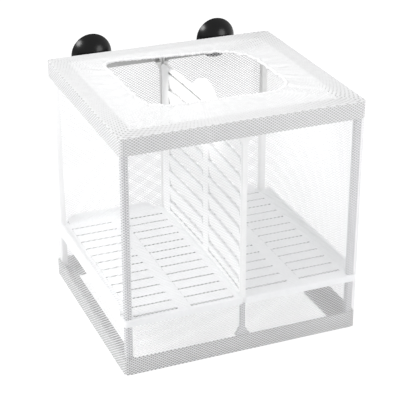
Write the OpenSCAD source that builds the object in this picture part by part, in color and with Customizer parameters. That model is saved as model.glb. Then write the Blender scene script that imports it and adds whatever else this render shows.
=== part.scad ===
// Net fish breeding box: two plastic rims and six posts, each in two halves, inside a mesh
// bag, with a slatted floor in two halves, a louvred divider that lifts, and two suction cups.
// X runs left to right, Y from front to rear, Z up. The origin is the middle of the underside.

/* [Box] */
// Width over the net
body_w = 170; // [140:1:220]
// Depth over the net
body_d = 155; // [150:1:200]
// Height from the underside to the top net
body_h = 169; // [150:1:200]
// Thickness of the net sheet
net_t = 0.5; // [0.4:0.1:0.8]

/* [Rims] */
// Height of a rim's upright wall
rim_h = 11.5; // [11:0.5:14]
// Thickness of the upright wall
rim_wall = 1.6; // [1.4:0.1:2]
// Width of the flat flange that runs round inside the wall
flange_w = 12; // [10:0.5:14]
// Thickness of the flange
flange_t = 1.5; // [1.2:0.1:2]
// Outer corner radius of the rims
rim_corner = 3; // [2.5:0.1:3]

/* [Posts] */
// Side of a corner post
corner_post = 5; // [4.5:0.1:6]
// Side of a centre post
centre_post = 3; // [3:0.1:4]
// Length of the flare at the outer end of a centre post
flare_len = 6; // [4:0.5:8]
// Width of that flare where it meets the rim
flare_w = 10; // [8:0.5:14]
// Radius of a corner post's joining peg
corner_peg_r = 1.5; // [1.2:0.1:1.8]
// Radius of a centre post's joining peg
centre_peg_r = 0.9; // [0.8:0.1:1]

/* [Floor] */
// Height of the floor's underside
floor_low = 36.5; // [30:0.5:60]
// Height of the floor's top
floor_top = 41; // [35:0.5:65]
// Thickness of the slatted plate
plate_t = 2; // [1.6:0.1:2.5]
// Number of slots from front to rear
slot_rows = 13; // [7:1:13]
// Distance from one slot to the next
slot_pitch = 11.2; // [9:0.1:11.2]
// Distance from the left tray's front edge to its first slot
left_slot_start = 4.7; // [4.7:0.1:10]
// Distance from the right tray's front edge to its first slot
right_slot_start = 10.7; // [4.7:0.1:10.7]
// Width of a slot, narrow enough to hold back the parent fish
slot_w = 2; // [1.5:0.1:3]
// Rise of each slat from its front edge to its rear edge
slat_rise = 0.3; // [0.2:0.1:1.2]
// Height of the curved lip along the outer side and the rear
lip_h = 5; // [4:0.5:6]

/* [Divider] */
// Height of the divider's top edge
divider_top = 157; // [120:1:157]
// Thickness of the divider's borders
divider_t = 2.4; // [2.2:0.1:3]
// How far the divider bows towards the right between its ends
divider_bow = 2.1; // [0.5:0.1:2.1]
// Number of louvre slots in each column
louvre_rows = 9; // [5:1:9]
// Distance from one louvre slot to the next
louvre_pitch = 12.6; // [10:0.1:12.6]
// Height of a louvre slot
louvre_gap = 1.6; // [1:0.1:2.5]
// Lean of each louvre blade from its lower edge to its upper edge
louvre_lean = 1.3; // [0.8:0.1:1.5]
// Width of the finger tab
tab_w = 43; // [30:1:50]
// Height of the finger tab
tab_h = 12; // [8:1:12]
// Distance of the tab's middle behind the box's middle
tab_y = -4; // [-20:1:20]

/* [Net] */
// Spacing of the drawn strands in the four sides
mesh_pitch = 18; // [16:1:24]
// Spacing of the drawn strands in the bottom and the top
flat_pitch = 26; // [20:1:30]
// Width of a drawn strand
mesh_strand = 1.1; // [0.8:0.1:2]
// Width of the sewn hem round a panel
hem_w = 3; // [2:0.5:5]
// Thickness of the elastic round the top opening
elastic_d = 2.4; // [2:0.1:3]

/* [Suction cups] */
// Diameter of a cup
cup_d = 30; // [28:1:32]
// Height of the cups' centres
cup_z = 164.1; // [160:0.1:164.1]
// Distance of each cup from the middle
cup_x = 48; // [35:0.5:60]
// Radius of a cup's neck
neck_r = 2.2; // [1.8:0.1:2.2]

/* [Hidden] */
$fn = 48;
// A small overlap that makes neighbouring solids join
joint = 0.01;

// Outer size of the rims, just inside the net
frame_w = body_w - 2 * net_t;
frame_d = body_d - 2 * net_t;
frame_low = net_t;
frame_top = body_h - net_t;
wall_inner_r = rim_corner - rim_wall;
// Inner faces of the rim walls
inner_x = frame_w / 2 - rim_wall;
inner_y = frame_d / 2 - rim_wall;
// Centres of the posts, which stand against the walls
corner_x = inner_x - corner_post / 2;
corner_y = inner_y - corner_post / 2;
centre_y = inner_y - centre_post / 2;
post_round = 1.5;
post_low = frame_low + flange_t;
post_high = frame_top - flange_t;
// Sockets that hold the posts' ends
socket_t = 1.6;
socket_h = 7;
// Pegs reach this far into the lower posts, with this much room round them
peg_reach = 4;
peg_room = 0.05;

// Grooves in the upper centre posts, and the tongues of the divider that slide in them
groove_w = 1.5;
groove_depth = 1.6;
tongue_t = 1.1;
tongue_len = 1.7;
tongue_inset = 5;
centre_inner = centre_y - centre_post / 2;
divider_end = centre_inner - 0.5;

// Floor trays, one each side of the middle
tray_gap = 0.2;
tray_outer = frame_w / 2 - 0.3;
tray_depth = frame_d / 2 - 0.3;
tray_corner = 2.7;
// Two columns of slots in each tray, given by their edges
column_edges = [[5.6, 36.4], [45.4, 76.2]];
skirt_t = 1.6;
lip_t = 1.6;
lip_curve = 5;
lip_end = 9;

// Divider heights and slot field, which lies nearer the front
divider_low = floor_top + 0.2;
divider_corner = 4;
louvre_first = 52.5;
louvre_front = -70;
louvre_rear = 59.5;
louvre_mid = -6.9;
louvre_strip = 10.8;
blade_t = 1.5;
blade_foot = 4;
blade_root = 0.4;

// Corners of the opening in the top net, anticlockwise from the front left, each given
// by its centre and its radius
opening = [[-32.1, -18.3, 19], [30.8, -19.1, 21.3], [21.5, 18.7, 30], [-41.1, 45.7, 10.6]];
// The outline's straight edges lie this much inside, so that they cross its corners' circles
edge_inset = 0.02;
// Length by which the elastic's straight runs lap into its corners
run_lap = 0.4;

// Suction cup profile, measured along its axis from the rear net
cup_reach = 11.5;
cup_back = 2.6;
cup_hollow = 3.6;
cup_edge = 1.2;
boss_r = 4.2;
boss_start = 0.4;
head_r = 2.7;
head_len = 2.6;
head_tip_r = 1.5;
hole_room = 0.05;
net_hole_r = 3;
rear_y = body_d / 2;

plastic_white = [0.94, 0.94, 0.94];
post_white = [0.82, 0.82, 0.83];
tray_white = [0.90, 0.91, 0.92];
divider_white = [0.96, 0.95, 0.92];
net_white = [0.86, 0.87, 0.90];
elastic_white = [0.98, 0.98, 0.98];
cup_black = [0.06, 0.06, 0.07];

// Rectangle about the origin with true arcs at its corners
module round_rect(w, d, r) {
    square([w - 2 * r, d], center = true);
    square([w, d - 2 * r], center = true);
    for (sx = [-1, 1], sy = [-1, 1])
        translate([sx * (w / 2 - r), sy * (d / 2 - r)])
            circle(r);
}

// Direction that the opening's straight edge faces, between corner i and the next one
function edge_turn(i) =
    let (a = opening[i], b = opening[(i + 1) % 4], run = [b[0] - a[0], b[1] - a[1]])
    atan2(run[1], run[0]) - 90 + asin((a[2] - b[2]) / norm(run));

// Point of a corner's arc in a direction, with the arc grown by the distance given
function arc_point(corner, turn, grow) =
    [corner[0] + (corner[2] + grow) * cos(turn), corner[1] + (corner[2] + grow) * sin(turn)];

// Outline of the top opening, grown by the distance given
module opening_outline(grow) {
    polygon([for (i = [0 : 3], k = [0, 1])
        arc_point(opening[(i + k) % 4], edge_turn(i), grow - edge_inset)]);
    for (corner = opening)
        translate([corner[0], corner[1]])
            circle(corner[2] + grow);
}

// L-shaped corner socket on the flange, for the quadrant given by its signs
module corner_socket(sx, sy) {
    reach = corner_post + socket_t;
    translate([sx * (inner_x - reach / 2), sy * (inner_y - reach / 2), flange_t - joint])
        difference() {
            linear_extrude(socket_h + joint)
                square(reach, center = true);
            translate([sx * socket_t / 2, sy * socket_t / 2, -1])
                linear_extrude(socket_h + 2)
                    square(corner_post, center = true);
        }
}

// Two cheeks beside a centre post, open towards the divider
module centre_socket(sy) {
    for (sx = [-1, 1])
        translate([sx * (centre_post + socket_t) / 2, sy * centre_y, flange_t - joint])
            linear_extrude(socket_h + joint)
                square([socket_t, centre_post], center = true);
}

// Rim with its wall, inner flange and sockets, standing on Z = 0
module rim() {
    difference() {
        linear_extrude(rim_h)
            round_rect(frame_w, frame_d, rim_corner);
        translate([0, 0, flange_t])
            linear_extrude(rim_h)
                round_rect(2 * inner_x, 2 * inner_y, wall_inner_r);
        translate([0, 0, -1])
            linear_extrude(flange_t + 2)
                round_rect(frame_w - 2 * flange_w, frame_d - 2 * flange_w, rim_corner);
    }
    for (sx = [-1, 1], sy = [-1, 1])
        corner_socket(sx, sy);
    for (sy = [-1, 1])
        centre_socket(sy);
}

module bottom_frame() {
    color(plastic_white)
        translate([0, 0, frame_low])
            rim();
}

module top_frame() {
    color(plastic_white)
        difference() {
            translate([0, 0, frame_top])
                mirror([0, 0, 1])
                    rim();
            for (sx = [-1, 1])
                translate([sx * cup_x, inner_y - 1, cup_z])
                    rotate([-90, 0, 0])
                        cylinder(h = rim_wall + 2, r = neck_r + hole_room);
        }
}

// Lower half of a corner post, with the hole that takes the upper half's peg
module corner_lower_post(sx, sy) {
    color(post_white)
        translate([sx * corner_x, sy * corner_y, post_low])
            difference() {
                linear_extrude(floor_low - post_low)
                    round_rect(corner_post, corner_post, post_round);
                translate([0, 0, floor_low - post_low - peg_reach - 1])
                    cylinder(h = peg_reach + 2, r = corner_peg_r + peg_room);
            }
}

// Upper half of a corner post, with its peg through the tray's corner
module corner_upper_post(sx, sy) {
    color(post_white)
        translate([sx * corner_x, sy * corner_y, 0]) {
            translate([0, 0, floor_top])
                linear_extrude(post_high - floor_top)
                    round_rect(corner_post, corner_post, post_round);
            translate([0, 0, floor_low - peg_reach])
                cylinder(h = floor_top - floor_low + peg_reach + 1, r = corner_peg_r);
        }
}

// Flared web at the outer end of a centre post, widest at its base on Z = 0
module post_flare(thick) {
    rotate([90, 0, 0])
        translate([0, 0, -thick / 2])
            linear_extrude(thick)
                polygon([[-flare_w / 2, 0], [flare_w / 2, 0],
                    [centre_post / 2 - joint, flare_len], [-centre_post / 2 + joint, flare_len]]);
}

module centre_lower_post(sy) {
    color(post_white)
        translate([0, sy * centre_y, 0])
            difference() {
                union() {
                    translate([0, 0, post_low])
                        linear_extrude(floor_low - post_low)
                            square(centre_post, center = true);
                    translate([0, 0, frame_low + rim_h])
                        post_flare(centre_post);
                }
                translate([0, 0, floor_low - peg_reach - 1])
                    cylinder(h = peg_reach + 2, r = centre_peg_r + peg_room);
            }
}

// Upper half of a centre post, with the groove that the divider slides in
module centre_upper_post(sy) {
    color(post_white)
        translate([0, sy * centre_y, 0]) {
            difference() {
                union() {
                    translate([0, 0, floor_top])
                        linear_extrude(post_high - floor_top)
                            square(centre_post, center = true);
                    translate([0, 0, frame_top - rim_h])
                        mirror([0, 0, 1])
                            post_flare(centre_post);
                }
                translate([0, -sy * centre_post / 2, floor_top - 1])
                    linear_extrude(post_high - floor_top + 2)
                        square([groove_w, 2 * groove_depth], center = true);
            }
            translate([0, 0, floor_low - peg_reach])
                cylinder(h = floor_top - floor_low + peg_reach + joint, r = centre_peg_r);
        }
}

// Slats of one column behind its first slot, each rising a little towards the rear
module tray_slats(x0, x1, first) {
    slat_d = slot_pitch - slot_w;
    for (k = [0 : slot_rows - 2]) {
        y0 = first + k * slot_pitch + slot_w / 2;
        translate([x0 - joint, 0, 0])
            rotate([90, 0, 90])
                linear_extrude(x1 - x0 + 2 * joint)
                    polygon([[y0, floor_top - plate_t], [y0 + slat_d, floor_top - plate_t + slat_rise],
                        [y0 + slat_d, floor_top + slat_rise], [y0, floor_top]]);
    }
}

// Section of the lip: a quarter curve up from the plate and a short straight edge
module lip_section() {
    curve_out = lip_curve + lip_t;
    difference() {
        translate([-curve_out, -lip_t])
            square([curve_out, lip_t + lip_h]);
        translate([-curve_out, lip_curve])
            circle(lip_curve);
        translate([-curve_out - 1, lip_curve])
            square([lip_curve + 1, lip_h]);
    }
}

// Lip running along a length, with its upper corners rounded off at both ends
module lip_run(len) {
    intersection() {
        rotate([90, 0, 0])
            translate([0, 0, -len / 2])
                linear_extrude(len)
                    lip_section();
        rotate([90, 0, 90])
            translate([0, 0, -lip_curve - lip_t - 1])
                linear_extrude(lip_curve + lip_t + 2) {
                    translate([0, -lip_h])
                        round_rect(len, 4 * lip_h, lip_h - 0.5);
                }
    }
}

// Tray on the right of the middle, with its first slot this far from its front edge
module floor_tray(slot_start) {
    first = -tray_depth + slot_start;
    field = (slot_rows - 1) * slot_pitch + slot_w;
    hollow_y = tray_depth - skirt_t;
    mid_x = (tray_gap + tray_outer) / 2;
    tray_w = tray_outer - tray_gap;
    difference() {
        union() {
            translate([mid_x, 0, floor_low])
                linear_extrude(floor_top - floor_low)
                    round_rect(tray_w, 2 * tray_depth, tray_corner);
            translate([tray_outer, 0, floor_top])
                lip_run(2 * (tray_depth - lip_end));
            translate([mid_x, tray_depth, floor_top])
                rotate([0, 0, 90])
                    lip_run(tray_w - 2 * lip_end);
        }
        for (edge = column_edges)
            translate([edge[0], first - slot_w / 2, floor_top - plate_t - 1])
                cube([edge[1] - edge[0], field, plate_t + lip_h]);
        // The underside is hollow between the skirt and the ribs beside the columns
        for (edge = column_edges)
            translate([edge[0] - 1.5, -hollow_y, floor_low - 1])
                cube([edge[1] - edge[0] + 3, 2 * hollow_y,
                    floor_top - plate_t - floor_low + 1]);
        for (sy = [-1, 1]) {
            translate([corner_x, sy * corner_y, floor_low - 1])
                cylinder(h = floor_top - floor_low + 2, r = corner_peg_r + peg_room);
            translate([0, sy * centre_y, floor_low - 1])
                cylinder(h = floor_top - floor_low + 2, r = centre_peg_r + peg_room);
        }
    }
    for (edge = column_edges)
        tray_slats(edge[0], edge[1], first);
}

module right_floor_tray() {
    color(tray_white)
        floor_tray(right_slot_start);
}

module left_floor_tray() {
    color(tray_white)
        mirror([1, 0, 0])
            floor_tray(left_slot_start);
}

// Height of a louvre slot's middle
function louvre_z(k) = louvre_first + k * louvre_pitch;

// Radius of the circle, or the sphere, whose cap has this height and this edge radius
function cap_radius(height, edge_r) = (edge_r * edge_r + height * height) / (2 * height);

bow_r = cap_radius(divider_bow, divider_end);

// Profile about X = 0 swept along the divider's bow, from one distance behind the middle
// to another
module bowed(y0, y1) {
    turn0 = asin(y0 / bow_r);
    turn1 = asin(y1 / bow_r);
    translate([divider_bow - bow_r, 0, 0])
        rotate([0, 0, turn0])
            rotate_extrude(angle = turn1 - turn0)
                translate([bow_r, 0])
                    children();
}

// Side outline of the divider, with the finger tab, which is part of a circle
module divider_outline() {
    height = divider_top - divider_low;
    tab_r = cap_radius(tab_h, tab_w / 2);
    translate([0, divider_low + height / 2])
        round_rect(2 * divider_end, height, divider_corner);
    translate([tab_y, divider_top + tab_h - tab_r])
        circle(tab_r);
}

// Leaning blade from one height to another, its upper edge towards the left
module louvre_blade(z0, z1, y0, y1) {
    foot = -blade_t / 2 + louvre_lean / 4;
    bowed(y0 - blade_root, y1 + blade_root)
        polygon([[foot, z0], [foot + blade_t, z0],
            [foot + blade_t - louvre_lean, z1], [foot - louvre_lean, z1]]);
}

module divider_panel() {
    reach = divider_end + tongue_len;
    window_low = louvre_z(0) - louvre_gap / 2 - louvre_pitch / 2 - blade_foot / 4;
    window_high = louvre_z(louvre_rows - 1) + louvre_gap / 2;
    columns = [[louvre_front, louvre_mid - louvre_strip / 2],
        [louvre_mid + louvre_strip / 2, louvre_rear]];
    color(divider_white) {
        difference() {
            union() {
                intersection() {
                    bowed(-reach, reach)
                        translate([-divider_t / 2, divider_low - 1])
                            square([divider_t, divider_top + tab_h - divider_low + 2]);
                    translate([-divider_t - divider_bow, 0, 0])
                        rotate([90, 0, 90])
                            linear_extrude(2 * (divider_t + divider_bow))
                                divider_outline();
                }
                // Tongues at both ends
                bowed(-reach, reach)
                    translate([-tongue_t / 2, divider_low + tongue_inset])
                        square([tongue_t, divider_top - divider_low - 2 * tongue_inset]);
            }
            for (c = columns)
                translate([-divider_t, c[0], window_low])
                    cube([2 * divider_t + divider_bow, c[1] - c[0], window_high - window_low]);
        }
        for (c = columns) {
            louvre_blade(window_low - joint, louvre_z(0) - louvre_gap / 2, c[0], c[1]);
            for (k = [0 : louvre_rows - 2])
                louvre_blade(louvre_z(k) + louvre_gap / 2, louvre_z(k + 1) - louvre_gap / 2,
                    c[0], c[1]);
        }
    }
}

// Gaps between strands laid at 45 degrees, within a rectangle about the origin
module mesh_gaps(w, h, pitch) {
    reach = ceil((w + h) / pitch / 2);
    intersection() {
        square([w, h], center = true);
        rotate(45)
            for (i = [-reach : reach], j = [-reach : reach])
                translate([(i + 0.5) * pitch, (j + 0.5) * pitch])
                    square(pitch - mesh_strand, center = true);
    }
}

// Strands inside a plain hem, about the origin
module net_sheet(w, h, pitch) {
    difference() {
        square([w, h], center = true);
        mesh_gaps(w - 2 * hem_w, h - 2 * hem_w, pitch);
    }
}

// Upright net panel that faces the front, its outer face on Y = 0
module upright_net(w) {
    translate([0, net_t, (frame_low + frame_top) / 2])
        rotate([90, 0, 0])
            linear_extrude(net_t)
                net_sheet(w, frame_top - frame_low, mesh_pitch);
}

// Straight width of the front and rear panels, between the rounded corners
front_w = body_w - 2 * (rim_corner + net_t);
side_w = body_d - 2 * (rim_corner + net_t);

module net_front() {
    color(net_white)
        translate([0, -body_d / 2, 0])
            upright_net(front_w);
}

module net_rear() {
    color(net_white)
        difference() {
            union() {
                translate([0, rear_y, 0])
                    mirror([0, 1, 0])
                        upright_net(front_w);
                // Patches sewn round the holes for the cups' necks
                for (sx = [-1, 1])
                    translate([sx * cup_x, rear_y - net_t, cup_z])
                        rotate([-90, 0, 0])
                            cylinder(h = net_t, r = net_hole_r + 1.5);
            }
            for (sx = [-1, 1])
                translate([sx * cup_x, rear_y - net_t - 1, cup_z])
                    rotate([-90, 0, 0])
                        cylinder(h = net_t + 2, r = net_hole_r);
        }
}

// Side panel on the left, with the rounded net corners at both ends
module side_net() {
    translate([-body_w / 2, 0, 0])
        rotate([0, 0, -90])
            upright_net(side_w);
    translate([0, 0, frame_low])
        linear_extrude(frame_top - frame_low)
            for (sy = [-1, 1])
                intersection() {
                    difference() {
                        round_rect(body_w, body_d, rim_corner + net_t);
                        round_rect(frame_w, frame_d, rim_corner);
                    }
                    translate([-body_w / 2 + (rim_corner + net_t) / 2,
                        sy * (body_d / 2 - (rim_corner + net_t) / 2)])
                        square(rim_corner + net_t, center = true);
                }
}

module net_left() {
    color(net_white)
        side_net();
}

module net_right() {
    color(net_white)
        mirror([1, 0, 0])
            side_net();
}

module net_bottom() {
    border = rim_corner + net_t;
    color(net_white)
        linear_extrude(net_t) {
            net_sheet(body_w - 2 * border, body_d - 2 * border, flat_pitch);
            difference() {
                round_rect(body_w, body_d, border);
                square([body_w - 2 * border - 2 * joint, body_d - 2 * border - 2 * joint],
                    center = true);
            }
        }
}

// Gathered top of the bag, from the rim in to the elastic, with a hem at both edges
module net_top() {
    color(net_white)
        translate([0, 0, frame_top])
            linear_extrude(net_t)
                difference() {
                    round_rect(body_w, body_d, rim_corner + net_t);
                    opening_outline(elastic_d / 2);
                    difference() {
                        mesh_gaps(body_w - 2 * hem_w, body_d - 2 * hem_w, flat_pitch);
                        opening_outline(elastic_d / 2 + hem_w);
                    }
                }
}

// Elastic round a corner i of the opening, between the straight runs on both sides
module elastic_corner(i) {
    corner = opening[i];
    turn0 = edge_turn((i + 3) % 4);
    translate([corner[0], corner[1], 0])
        rotate([0, 0, turn0])
            rotate_extrude(angle = (edge_turn(i) - turn0 + 360) % 360)
                translate([corner[2], 0])
                    circle(d = elastic_d);
}

// Straight run of the elastic from corner i to the next one, stretched a little thinner,
// so that it ends inside both corners
module elastic_run(i) {
    start = arc_point(opening[i], edge_turn(i), 0);
    end = arc_point(opening[(i + 1) % 4], edge_turn(i), 0);
    translate([start[0], start[1], 0])
        rotate([0, 0, edge_turn(i) + 90])
            translate([-run_lap, 0, 0])
                rotate([0, 90, 0])
                    cylinder(h = norm(end - start) + 2 * run_lap, d = elastic_d - 0.1);
}

module opening_elastic() {
    color(elastic_white)
        translate([0, 0, frame_top + net_t / 2])
            for (i = [0 : 3]) {
                elastic_corner(i);
                elastic_run(i);
            }
}

// Suction cup about the Z axis, which points from the box towards the glass
module suction_cup() {
    rim_r = cup_d / 2;
    dome_h = cup_reach - cup_back;
    dome_r = cap_radius(dome_h, rim_r);
    hollow_rim = rim_r - cup_edge;
    hollow_r = cap_radius(cup_hollow, hollow_rim);
    wall_in = rear_y - inner_y;
    difference() {
        union() {
            intersection() {
                translate([0, 0, cup_back + dome_r])
                    sphere(dome_r, $fn = 96);
                cylinder(h = cup_reach, r = rim_r + 1);
            }
            translate([0, 0, boss_start])
                cylinder(h = cup_back + 2, r = boss_r);
            translate([0, 0, -wall_in - 1])
                cylinder(h = wall_in + 3, r = neck_r);
            translate([0, 0, -wall_in - 0.3 - head_len])
                cylinder(h = head_len, r1 = head_tip_r, r2 = head_r);
        }
        translate([0, 0, cup_reach - cup_hollow + hollow_r])
            sphere(hollow_r, $fn = 96);
    }
}

module placed_cup(side) {
    color(cup_black)
        translate([side * cup_x, rear_y, cup_z])
            rotate([-90, 0, 0])
                suction_cup();
}

module left_suction_cup() {
    placed_cup(-1);
}

module right_suction_cup() {
    placed_cup(1);
}

bottom_frame();
top_frame();
corner_lower_post(-1, -1);  // front_left_lower_post
corner_lower_post(1, -1);  // front_right_lower_post
corner_lower_post(-1, 1);  // rear_left_lower_post
corner_lower_post(1, 1);  // rear_right_lower_post
corner_upper_post(-1, -1);  // front_left_upper_post
corner_upper_post(1, -1);  // front_right_upper_post
corner_upper_post(-1, 1);  // rear_left_upper_post
corner_upper_post(1, 1);  // rear_right_upper_post
centre_lower_post(-1);  // front_centre_lower_post
centre_lower_post(1);  // rear_centre_lower_post
centre_upper_post(-1);  // front_centre_upper_post
centre_upper_post(1);  // rear_centre_upper_post
left_floor_tray();
right_floor_tray();
divider_panel();
net_front();
net_rear();
net_left();
net_right();
net_bottom();
net_top();
opening_elastic();
left_suction_cup();
right_suction_cup();
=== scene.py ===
"""Net fish breeding box: the mesh bag, the finishes, the lights and the camera over the CAD frame.

Metres throughout. X runs left to right, Y from front to rear and Z up. The origin is the middle of the
underside.
"""

import math

import bpy
import numpy as np
from mathutils import Matrix, Vector


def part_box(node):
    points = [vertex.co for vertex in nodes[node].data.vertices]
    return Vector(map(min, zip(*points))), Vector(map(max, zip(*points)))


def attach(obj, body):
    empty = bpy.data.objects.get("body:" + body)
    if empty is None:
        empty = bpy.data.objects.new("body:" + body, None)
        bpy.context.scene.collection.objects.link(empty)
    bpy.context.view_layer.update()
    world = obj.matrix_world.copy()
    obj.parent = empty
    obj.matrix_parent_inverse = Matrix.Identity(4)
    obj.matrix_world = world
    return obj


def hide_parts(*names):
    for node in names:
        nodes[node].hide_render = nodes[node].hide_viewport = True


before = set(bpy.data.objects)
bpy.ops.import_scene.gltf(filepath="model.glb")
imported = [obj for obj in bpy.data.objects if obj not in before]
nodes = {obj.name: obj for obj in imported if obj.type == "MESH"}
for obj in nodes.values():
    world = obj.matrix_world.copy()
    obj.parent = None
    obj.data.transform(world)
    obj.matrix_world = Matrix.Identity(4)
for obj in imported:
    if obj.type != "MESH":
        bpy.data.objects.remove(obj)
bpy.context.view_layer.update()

MM = 0.001

# Camera, recovered from the photograph's own edges
CAMERA_AT = (-0.31522, -0.77519, 0.48203)
CAMERA_YAW = 22.10
CAMERA_PITCH = 25.72
CAMERA_ROLL = -0.06
CAMERA_LENS_MM = 119.46

# Mesh of the bag: half the width and half the height of one gap, and a thread's width
GAP_HALF_W = 1.38 * MM
GAP_HALF_H = 0.95 * MM
THREAD_W = 0.40 * MM
# The gathers pile threads on each other, so each looks wider there, up to a least gap
GATHERED_THREAD_W = 1.55 * MM
LEAST_OPEN = 0.10

# Finishes: the parts of noise and of the occlusion that paints shade, over which a colour goes from its
# darker to its full tone
PATCH_RANGE = (0.3, 0.7)
PAINTED_SHADE_RANGE = (0.35, 0.85)

# Lamps: place, the point it faces, the disc's width and the power in watts
KEY_LIGHT = ((-1.25, -0.12, 1.28), (0, 0, 0.08), 0.7, 31)
FILL_LIGHT = ((0.46, -0.46, 0.34), (0, 0, 0.06), 0.40, 2.4)
WORLD_STRENGTH = 0.60

# Floor: half its side, how far it lies under the box, and its tones for bounced light and for the camera
FLOOR_HALF = 4.0
FLOOR_BELOW = 0.05 * MM
FLOOR_BOUNCE = (0.85, 0.85, 0.85, 1)
FLOOR_SHOWN = (0.16, 0.16, 0.16, 1)
FLOOR_GLOW = 0.93


def node_material(name):
    """A new node material: (material, nodes, links, its Principled shader)."""
    m = bpy.data.materials.new(name)
    m.use_nodes = True
    return m, m.node_tree.nodes, m.node_tree.links, m.node_tree.nodes["Principled BSDF"]


def object_noise(ns, links, where, scale, detail):
    """Noise over the piece's own coordinates."""
    noise = ns.new("ShaderNodeTexNoise")
    noise.inputs["Scale"].default_value = scale
    noise.inputs["Detail"].default_value = detail
    links.new(where.outputs["Object"], noise.inputs["Vector"])
    return noise


def tone_ramp(ns, span, darker, full):
    """A colour ramp from the darker colour to the full one, over the span."""
    ramp = ns.new("ShaderNodeValToRGB")
    for element, position, colour in zip(ramp.color_ramp.elements, span, (darker, full)):
        element.position = position
        element.color = (*colour, 1)
    return ramp


def mottle(ns, links, shader, colour, scale, depth):
    """Varies a shader's base colour by a share of depth, in soft patches."""
    where = ns.new("ShaderNodeTexCoord")
    noise = object_noise(ns, links, where, scale, detail=4)
    ramp = tone_ramp(ns, PATCH_RANGE, tuple(c * (1 - depth) for c in colour), colour)
    links.new(noise.outputs["Fac"], ramp.inputs["Fac"])
    links.new(ramp.outputs["Color"], shader.inputs["Base Color"])
    return where


def grain(ns, links, shader, where, scale, strength, distance):
    """Fine bump from noise, as on a moulded or woven surface."""
    noise = object_noise(ns, links, where, scale, detail=3)
    bump = ns.new("ShaderNodeBump")
    bump.inputs["Strength"].default_value = strength
    bump.inputs["Distance"].default_value = distance
    links.new(noise.outputs["Fac"], bump.inputs["Height"])
    links.new(bump.outputs["Normal"], shader.inputs["Normal"])


def paint_shade_in_hollows(ns, links, shader, reach, painted_shade_darkest):
    """Paints shade into a shader's base colour in the piece's own slots and inner corners, by ambient
    occlusion.
    """
    hollow = ns.new("ShaderNodeAmbientOcclusion")
    hollow.only_local = True
    hollow.samples = 8
    hollow.inputs["Distance"].default_value = reach
    ramp = tone_ramp(ns, PAINTED_SHADE_RANGE, (painted_shade_darkest, painted_shade_darkest, painted_shade_darkest), (1, 1, 1))
    both = ns.new("ShaderNodeMix")
    both.data_type = "RGBA"
    both.blend_type = "MULTIPLY"
    both.inputs["Factor"].default_value = 1
    plain = shader.inputs["Base Color"].links[0].from_socket
    links.new(hollow.outputs["AO"], ramp.inputs["Fac"])
    links.new(plain, both.inputs["A"])
    links.new(ramp.outputs["Color"], both.inputs["B"])
    links.new(both.outputs["Result"], shader.inputs["Base Color"])


def moulded_plastic(name, colour, roughness, depth=0.03, reach=4 * MM, painted_shade_darkest=1.0):
    """White polystyrene: a soft sheen, faint flow marks, a fine texture and, where asked, painted shade in
    its own slots and inner corners.
    """
    m, ns, links, shader = node_material(name)
    where = mottle(ns, links, shader, colour, scale=45, depth=depth)
    # Where a darkest share is given, shade is painted into the slots and inner corners
    if painted_shade_darkest < 1:
        paint_shade_in_hollows(ns, links, shader, reach, painted_shade_darkest)
    grain(ns, links, shader, where, scale=900, strength=0.12, distance=0.2 * MM)
    shader.inputs["Roughness"].default_value = roughness
    shader.inputs["Specular IOR Level"].default_value = 0.4
    return m


def woven(name, colour, depth, through):
    """Thin white thread or cloth that also lets light through."""
    m, ns, links, shader = node_material(name)
    where = mottle(ns, links, shader, colour, scale=260, depth=depth)
    grain(ns, links, shader, where, scale=4000, strength=0.3, distance=0.1 * MM)
    shader.inputs["Roughness"].default_value = 0.75
    shader.inputs["Specular IOR Level"].default_value = 0.25
    glow = ns.new("ShaderNodeBsdfTranslucent")
    glow.inputs["Color"].default_value = (*colour, 1)
    mix = ns.new("ShaderNodeMixShader")
    mix.inputs["Fac"].default_value = through
    links.new(shader.outputs["BSDF"], mix.inputs[1])
    links.new(glow.outputs["BSDF"], mix.inputs[2])
    links.new(mix.outputs["Shader"], ns["Material Output"].inputs["Surface"])
    return m


def vinyl(name, colour):
    """Glossy soft vinyl of a suction cup."""
    m, ns, links, shader = node_material(name)
    where = mottle(ns, links, shader, colour, scale=60, depth=0.25)
    grain(ns, links, shader, where, scale=120, strength=0.05, distance=0.4 * MM)
    shader.inputs["Roughness"].default_value = 0.25
    shader.inputs["Specular IOR Level"].default_value = 0.20
    return m


# Painted shade: the frames and the front posts are white plastic given grey tones for the shade on them,
# darkest on the lower frame
FRAME_PAINTED_SHADE = moulded_plastic("frame_painted_shade", (0.46, 0.46, 0.455), 0.42)
LOWER_FRAME_PAINTED_SHADE = moulded_plastic("lower_frame_painted_shade", (0.33, 0.33, 0.325), 0.42)
POST_PAINTED_SHADE = moulded_plastic("post_white", (0.42, 0.42, 0.43), 0.40)
# The inner and rear posts keep a near-plain white, against which the front posts' grey is painted shade
INNER_POST_WHITE = moulded_plastic("inner_post_white", (0.82, 0.82, 0.81), 0.40)
# Painted shade in the tray's slots and the divider's louvres, from the occlusion, down to the given darkest
# share
TRAY_WHITE_SLOT_SHADE = moulded_plastic("tray_white", (0.82, 0.825, 0.83), 0.45, painted_shade_darkest=0.15)
DIVIDER_WHITE_SLOT_SHADE = moulded_plastic("divider_white", (0.98, 0.98, 0.975), 0.42, 0.015, painted_shade_darkest=0.25)
NET_WHITE = woven("net_white", (0.84, 0.84, 0.85), 0.08, 0.22)
# Painted shade: the rear net is the net's white made darker for the shade on its inner side
REAR_NET_PAINTED_SHADE = woven("rear_net_painted_shade", (0.72, 0.72, 0.73), 0.08, 0.25)
# Painted shade: the gathered top is the net's white toned down for the strong light that falls on it
GATHERED_NET_PAINTED_SHADE = woven("gathered_net_painted_shade", (0.78, 0.78, 0.78), 0.07, 0.22)
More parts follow.
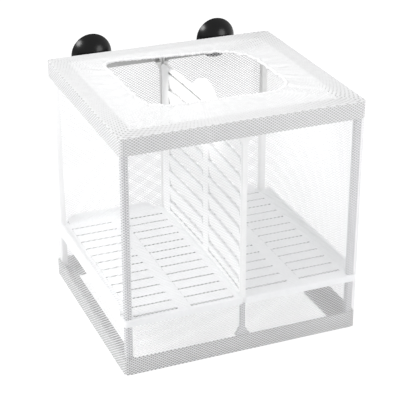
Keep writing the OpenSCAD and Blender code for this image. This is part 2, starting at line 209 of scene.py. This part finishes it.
# Painted light: the bottom net is the net's white made lighter and more translucent than the shade under
# the tray would leave it
BOTTOM_NET_PAINTED_LIGHT = woven("bottom_net_painted_light", (0.96, 0.96, 0.96), 0.04, 0.35)
HEM_WHITE = woven("hem_white", (0.86, 0.86, 0.86), 0.10, 0.25)
CUP_BLACK = vinyl("cup_black", (0.002, 0.002, 0.0022))

# Rounding of the moulded edges
FRAME_EDGE = 0.25 * MM
TRAY_EDGE = 0.15 * MM
DIVIDER_EDGE = 0.20 * MM


def finish_node(name, material, bevel=0.0):
    """Gives a CAD node its finish and, where asked, softly rounded edges."""
    o = nodes[name]
    o.data.materials.clear()
    o.data.materials.append(material)
    if bevel:
        soft = o.modifiers.new("edge", "BEVEL")
        soft.width = bevel
        soft.segments = 2
        soft.limit_method = "ANGLE"
        soft.angle_limit = math.radians(40)


# Finishes of the CAD nodes: the frames and the front posts take the grey tones of painted shade
for name in nodes:
    if name == "bottom_frame":
        finish_node(name, LOWER_FRAME_PAINTED_SHADE, FRAME_EDGE)
    elif name == "top_frame":
        finish_node(name, FRAME_PAINTED_SHADE, FRAME_EDGE)
    elif "centre_upper" in name or name.startswith("rear_"):
        finish_node(name, INNER_POST_WHITE)
    elif name.endswith("_post"):
        finish_node(name, POST_PAINTED_SHADE)
    elif name.endswith("_tray"):
        finish_node(name, TRAY_WHITE_SLOT_SHADE, TRAY_EDGE)
    elif name == "divider_panel":
        finish_node(name, DIVIDER_WHITE_SLOT_SHADE, DIVIDER_EDGE)
    elif name.endswith("_cup"):
        finish_node(name, CUP_BLACK)


def new_piece(name, points, faces, material, body):
    """A mesh object in the row frame that rides on a body."""
    mesh = bpy.data.meshes.new(name)
    mesh.from_pydata([tuple(p) for p in points], [], [tuple(f) for f in faces])
    mesh.validate()
    mesh.materials.append(material)
    mesh.polygons.foreach_set("use_smooth", [True] * len(mesh.polygons))
    mesh.update()
    o = bpy.data.objects.new(name, mesh)
    bpy.context.scene.collection.objects.link(o)
    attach(o, body)
    return o


def open_share(half_w, half_h, thread):
    """Share of a gap's half width that its threads leave open."""
    return 1 - thread / 2 * math.hypot(half_w, half_h) / (half_w * half_h)


TAUT_OPEN = open_share(GAP_HALF_W, GAP_HALF_H, THREAD_W)


def diamond_net(columns, rows, keep=None, closed=False, share=lambda i, j: TAUT_OPEN):
    """Flat mesh of diamond gaps on a grid of half gaps: (points as column and row, faces).

    Gaps lie where column and row add up to an even number. keep says which gaps there are, closed joins the
    last column to the first, and share gives the open part of each gap's half width.
    """
    number = -np.ones((columns + 3, rows + 3), int)
    cells = []
    for i in range(columns if closed else columns + 1):
        for j in range(rows + 1):
            if (i + j) % 2 == 0 and (keep is None or keep(i, j)):
                number[i, j] = len(cells)
                cells.append((i, j))

    def at(i, j):
        if closed:
            i %= columns
        if i < 0 or j < 0 or i > columns or j > rows:
            return -1
        return number[i, j]

    points = []
    for i, j in cells:
        gap = share(i, j)
        points += [(i + gap, j), (i, j + gap), (i - gap, j), (i, j - gap)]
    right, top, left, bottom = range(4)
    faces = []
    for n, (i, j) in enumerate(cells):
        above, below, beyond = at(i + 1, j + 1), at(i + 1, j - 1), at(i + 2, j)
        me = 4 * n
        if above >= 0:
            faces.append((me + right, 4 * above + bottom, 4 * above + left, me + top))
        if below >= 0:
            faces.append((me + bottom, 4 * below + left, 4 * below + top, me + right))
        if above >= 0 and below >= 0 and beyond >= 0:
            faces.append((me + right, 4 * below + top, 4 * beyond + left, 4 * above + bottom))
    return points, faces


# The box's outside, from the frame
HALF_W, HALF_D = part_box("net_bottom")[1].xy
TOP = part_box("net_top")[1].z

# Radius of the upright corners, the net's depth under the outside, its gap to an edge, and a panel's billow
CORNER = 3.5 * MM
NET_IN = 0.25 * MM
NET_SHORT = 0.3 * MM
BILLOW = 0.16 * MM
FRONT_HALF = HALF_W - CORNER
SIDE_HALF = HALF_D - CORNER
SIDE_REACH = SIDE_HALF + math.pi / 2 * (CORNER - NET_IN)
NET_LOW, NET_HIGH = NET_SHORT, TOP - NET_SHORT


def billow(u, v, seed):
    """How far a taut panel stands out of its plane, in metres."""
    wide = math.sin(41 * u + 2.1 * seed) * math.sin(37 * v + seed)
    fine = 0.5 * math.sin(97 * u - 71 * v + seed)
    return BILLOW * (wide + fine)


def front_point(u, v, seed=0.3):
    """A point of the front panel: u from the middle towards +X, v up."""
    return (u, -HALF_D + NET_IN - billow(u, v, seed), v)


def rear_point(u, v, seed=1.7):
    """A point of the rear panel: u from the middle towards -X, v up."""
    return (-u, HALF_D - NET_IN + billow(u, v, seed), v)


def side_point(u, v, side, seed):
    """A point of a side panel with its two rounded corners: u from the middle towards the front."""
    r = CORNER - NET_IN
    over = abs(u) - SIDE_HALF
    end = math.copysign(1, u)
    if over <= 0:
        return (side * (HALF_W - NET_IN + billow(u, v, seed)), -u, v)
    a = over / r
    return (side * (HALF_W - CORNER + r * math.cos(a)), -end * (SIDE_HALF + r * math.sin(a)), v)


def net_panel(name, node, half_width, place, material=NET_WHITE):
    """One upright panel of fine mesh, held taut by the rims and posts."""
    width, height = 2 * half_width, NET_HIGH - NET_LOW
    columns = 2 * round(half_width / GAP_HALF_W)
    rows = 2 * round(height / GAP_HALF_H / 2)
    flat, faces = diamond_net(columns, rows)
    du, dv = width / columns, height / rows
    points = [place(-half_width + i * du, NET_LOW + j * dv) for i, j in flat]
    o = new_piece(name, points, faces, material, "box")
    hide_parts(node)


net_panel("mesh_front", "net_front", FRONT_HALF, front_point)
net_panel("mesh_rear", "net_rear", FRONT_HALF, rear_point, REAR_NET_PAINTED_SHADE)
net_panel("mesh_left", "net_left", SIDE_REACH, lambda u, v: side_point(u, v, -1, 2.6))
net_panel("mesh_right", "net_right", SIDE_REACH, lambda u, v: side_point(u, v, 1, 4.1))


def flat_net(name, node, z):
    """The bag's bottom, flat under the lower rim."""
    columns = 2 * round(HALF_W / GAP_HALF_W)
    rows = 2 * round(HALF_D / GAP_HALF_H)
    du, dv = 2 * HALF_W / columns, 2 * HALF_D / rows

    def inside(i, j):
        x, y = abs(-HALF_W + i * du), abs(-HALF_D + j * dv)
        ox, oy = x - (HALF_W - CORNER), y - (HALF_D - CORNER)
        return ox <= 0 or oy <= 0 or math.hypot(ox, oy) < CORNER - NET_SHORT

    def limit(c, half):
        return max(-half, min(half, c))

    flat, faces = diamond_net(columns, rows, inside)
    points = [(limit(-HALF_W + i * du, HALF_W), limit(-HALF_D + j * dv, HALF_D), z) for i, j in flat]
    o = new_piece(name, points, faces, BOTTOM_NET_PAINTED_LIGHT, "box")
    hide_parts(node)


flat_net("mesh_bottom", "net_bottom", NET_IN)

# The opening from above, as four corner circles (x, y, radius), anticlockwise from the front left
OPENING_MM = [(-32.1, -18.3, 19), (30.8, -19.1, 21.3), (21.5, 18.7, 30), (-41.1, 45.7, 10.6)]
OPENING = [(x * MM, y * MM, r * MM) for x, y, r in OPENING_MM]
e_low, e_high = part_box("opening_elastic")
ELASTIC_R = (e_high.z - e_low.z) / 2
CENTRE = Vector(((e_low.x + e_high.x) / 2, (e_low.y + e_high.y) / 2))
FLANGE_W = 12 * MM

# Points to a corner and to a run of an outline
ARC_STEPS = 40
RUN_STEPS = 60

# Gathered top: rows of half gaps, depth under the box's top, sag and height of the pleats
TOP_ROWS = 36
TOP_UNDER = 0.2 * MM
TOP_SAG = 0.35 * MM
PLEAT = 0.55 * MM
# Its outer edge turns down this far, over this share of the rows
EDGE_TURN = 0.3 * MM
EDGE_SHARE = 0.03
# Its inner edge runs this far into the hem, in radii of the elastic
INTO_HEM = 0.3


def rounded(half_w, half_d, r):
    """A rounded rectangle about the origin as four corner circles."""
    return [(sx * (half_w - r), sy * (half_d - r), r) for sx, sy in [(-1, -1), (1, -1), (1, 1), (-1, 1)]]


def outline_reach(corners):
    """Distance from CENTRE to the outline round four corner circles, as a function of the angle."""
    faces = []
    for a, b in zip(corners, corners[1:] + corners[:1]):
        run = (b[0] - a[0], b[1] - a[1])
        faces.append(math.atan2(run[1], run[0]) - math.pi / 2 + math.asin((a[2] - b[2]) / math.hypot(*run)))
    points = []
    for n, (x, y, r) in enumerate(corners):
        start = faces[n - 1]
        turn = (faces[n] - start) % (2 * math.pi)
        arc = [start + turn * k / ARC_STEPS for k in range(ARC_STEPS + 1)]
        points += [(x + r * math.cos(a), y + r * math.sin(a)) for a in arc]
        far_x, far_y, far_r = corners[(n + 1) % 4]
        last = (far_x + far_r * math.cos(faces[n]), far_y + far_r * math.sin(faces[n]))
        here = points[-1]
        gap = (last[0] - here[0], last[1] - here[1])
        steps = range(1, RUN_STEPS)
        points += [(here[0] + gap[0] * k / RUN_STEPS, here[1] + gap[1] * k / RUN_STEPS) for k in steps]
    from_centre = [(x - CENTRE.x, y - CENTRE.y) for x, y in points]
    polar = sorted((math.atan2(y, x), math.hypot(x, y)) for x, y in from_centre)
    angles, radii = zip(*polar)
    return lambda angle: float(np.interp(angle, angles, radii, period=2 * math.pi))


opening_reach = outline_reach(OPENING)
outer_reach = outline_reach(rounded(HALF_W, HALF_D, CORNER))
flange_reach = outline_reach(rounded(HALF_W - FLANGE_W, HALF_D - FLANGE_W, CORNER))


def ease(x, a, b):
    """0 up to a, 1 from b on, and smooth between."""
    x = max(0.0, min(1.0, (x - a) / (b - a)))
    return x * x * (3 - 2 * x)


def pleat(angle, near):
    """Height of the gathers at an angle round the opening, near being 0 at the rim and 1 at the elastic."""
    wave = (
        math.sin(29 * angle + 0.7)
        + 0.7 * math.sin(47 * angle + 2.0 + 1.5 * math.sin(3 * angle))
        + 0.5 * math.sin(71 * angle + 4.4)
    )
    slow = 0.6 + 0.4 * math.sin(2 * angle + 1.1)
    return PLEAT * wave * slow * ease(near, 0.05, 1.0)


def gathered_top(name, node):
    """The bag's top, flat over the rim and gathered in by the elastic."""
    columns = 2 * round((4 * HALF_W + 4 * HALF_D) / 2 / GAP_HALF_W / 2)
    rows = TOP_ROWS
    edges = []
    for i in range(columns + 1):
        a = 2 * math.pi * i / columns
        edges.append((outer_reach(a) - NET_IN, opening_reach(a) + INTO_HEM * ELASTIC_R, flange_reach(a)))

    def spot(i, j):
        """Angle, radius and looseness of a place on the grid, from 0 on the rim to 1 at the elastic."""
        whole = math.floor(i)
        part = i - whole
        here, beyond = edges[whole % columns], edges[(whole + 1) % columns]
        far, near, flange = (p * (1 - part) + q * part for p, q in zip(here, beyond))
        r = far + (near - far) * j / rows
        return 2 * math.pi * i / columns, r, max(0.0, min(1.0, (flange - r) / (flange - near)))

    def share(i, j):
        far, near, _ = edges[i % columns]
        half_w = 2 * math.pi * spot(i, j)[1] / columns
        half_h = (far - near) / rows
        return max(LEAST_OPEN, open_share(half_w, half_h, GATHERED_THREAD_W))

    flat, faces = diamond_net(columns, rows, closed=True, share=share)
    points = []
    for i, j in flat:
        a, r, loose = spot(i, j)
        z = TOP - TOP_UNDER - TOP_SAG * math.sin(math.pi * loose) + pleat(a, loose)
        if j / rows < EDGE_SHARE:
            z -= EDGE_TURN * (1 - j / rows / EDGE_SHARE)
        p = CENTRE + Vector((math.cos(a), math.sin(a))) * r
        points.append((p.x, p.y, z))
    o = new_piece(name, points, faces, GATHERED_NET_PAINTED_SHADE, "box")
    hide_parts(node)


gathered_top("mesh_top", "net_top")

# Hem: points round the opening and round its own section, its width and height as shares of the elastic's,
# and the share of the pleats that it follows
HEM_AROUND = 1200
HEM_RING = 10
HEM_WIDE = 0.92
HEM_TALL = 0.8
HEM_FOLLOWS = 0.6


def elastic_hem(name, node):
    """The hem round the opening, ruffled by the elastic inside it."""
    points, faces = [], []
    z0 = (e_low.z + e_high.z) / 2
    for i in range(HEM_AROUND):
        a = 2 * math.pi * i / HEM_AROUND
        d = Vector((math.cos(a), math.sin(a)))
        r0 = opening_reach(a)
        ruffle = 1 + 0.18 * math.sin(173 * a) + 0.12 * math.sin(67 * a + 1)
        for k in range(HEM_RING):
            b = 2 * math.pi * k / HEM_RING
            r = r0 + ELASTIC_R * ruffle * math.cos(b) * HEM_WIDE
            z = z0 + ELASTIC_R * ruffle * math.sin(b) * HEM_TALL + HEM_FOLLOWS * pleat(a, 1.0)
            p = CENTRE + d * r
            points.append((p.x, p.y, z))
            n, m = i * HEM_RING, ((i + 1) % HEM_AROUND) * HEM_RING
            faces.append((n + k, m + k, m + (k + 1) % HEM_RING, n + (k + 1) % HEM_RING))
    o = new_piece(name, points, faces, HEM_WHITE, "box")
    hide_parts(node)


elastic_hem("elastic_hem", "opening_elastic")


def camera():
    """The photograph's own viewpoint."""
    yaw, pitch, roll = (math.radians(a) for a in (CAMERA_YAW, CAMERA_PITCH, CAMERA_ROLL))
    ahead = Vector((math.sin(yaw) * math.cos(pitch), math.cos(yaw) * math.cos(pitch), -math.sin(pitch)))
    right = Vector((math.cos(yaw), -math.sin(yaw), 0))
    up = right.cross(ahead)
    tilt = Matrix.Rotation(-roll, 3, ahead)
    right, up = tilt @ right, tilt @ up
    data = bpy.data.cameras.new("camera")
    data.lens = CAMERA_LENS_MM
    data.sensor_width = 36
    data.clip_start, data.clip_end = 0.05, 20
    o = bpy.data.objects.new("camera", data)
    bpy.context.scene.collection.objects.link(o)
    o.matrix_world = Matrix.Translation(CAMERA_AT) @ Matrix((right, up, -ahead)).transposed().to_4x4()
    bpy.context.scene.camera = o


def seen_directly(ns, links):
    """1 for the rays that show the background, also in gloss, and 0 for those that light the object."""
    path = ns.new("ShaderNodeLightPath")
    seen = path.outputs["Is Camera Ray"]
    for kind in ("Is Glossy Ray", "Is Transmission Ray"):
        either = ns.new("ShaderNodeMath")
        either.operation = "MAXIMUM"
        links.new(seen, either.inputs[0])
        links.new(path.outputs[kind], either.inputs[1])
        seen = either.outputs[0]
    return seen


def white_world():
    """Soft light from all round, which the camera and gloss see as plain white."""
    world = bpy.data.worlds.new("studio")
    bpy.context.scene.world = world
    world.use_nodes = True
    ns, links = world.node_tree.nodes, world.node_tree.links
    soft = ns["Background"]
    soft.inputs["Color"].default_value = (0.98, 0.985, 1.0, 1)
    soft.inputs["Strength"].default_value = WORLD_STRENGTH
    plain = ns.new("ShaderNodeBackground")
    plain.inputs["Color"].default_value = (1, 1, 1, 1)
    plain.inputs["Strength"].default_value = 1.0
    mix = ns.new("ShaderNodeMixShader")
    links.new(seen_directly(ns, links), mix.inputs["Fac"])
    links.new(soft.outputs["Background"], mix.inputs[1])
    links.new(plain.outputs["Background"], mix.inputs[2])
    links.new(mix.outputs["Shader"], ns["World Output"].inputs["Surface"])


def white_floor():
    """A plain white floor that keeps a faint shadow."""
    h = FLOOR_HALF
    mesh = bpy.data.meshes.new("floor")
    corners = [(-h, -h, 0), (h, -h, 0), (h, h, 0), (-h, h, 0)]
    mesh.from_pydata(corners, [], [(0, 1, 2, 3)])
    o = bpy.data.objects.new("floor", mesh)
    o.location.z = -FLOOR_BELOW
    bpy.context.scene.collection.objects.link(o)
    m = bpy.data.materials.new("floor_white")
    m.use_nodes = True
    ns, links = m.node_tree.nodes, m.node_tree.links
    ns.remove(ns["Principled BSDF"])
    bounce = ns.new("ShaderNodeBsdfDiffuse")
    bounce.inputs["Color"].default_value = FLOOR_BOUNCE
    shown = ns.new("ShaderNodeBsdfDiffuse")
    shown.inputs["Color"].default_value = FLOOR_SHOWN
    glow = ns.new("ShaderNodeEmission")
    glow.inputs["Strength"].default_value = FLOOR_GLOW
    both = ns.new("ShaderNodeAddShader")
    mix = ns.new("ShaderNodeMixShader")
    links.new(shown.outputs["BSDF"], both.inputs[0])
    links.new(glow.outputs["Emission"], both.inputs[1])
    links.new(seen_directly(ns, links), mix.inputs["Fac"])
    links.new(bounce.outputs["BSDF"], mix.inputs[1])
    links.new(both.outputs["Shader"], mix.inputs[2])
    links.new(mix.outputs["Shader"], ns["Material Output"].inputs["Surface"])
    o.data.materials.append(m)


def soft_light(name, at, towards, size, power):
    """A round soft lamp at a place, turned towards a point."""
    data = bpy.data.lights.new(name, "AREA")
    data.shape = "DISK"
    data.size = size
    data.energy = power
    o = bpy.data.objects.new(name, data)
    bpy.context.scene.collection.objects.link(o)
    o.location = at
    o.rotation_mode = "QUATERNION"
    o.rotation_quaternion = (Vector(towards) - Vector(at)).to_track_quat("-Z", "Y")


camera()
white_world()
white_floor()
soft_light("key", *KEY_LIGHT)
soft_light("fill", *FILL_LIGHT)

bpy.context.scene.view_settings.view_transform = "Standard"
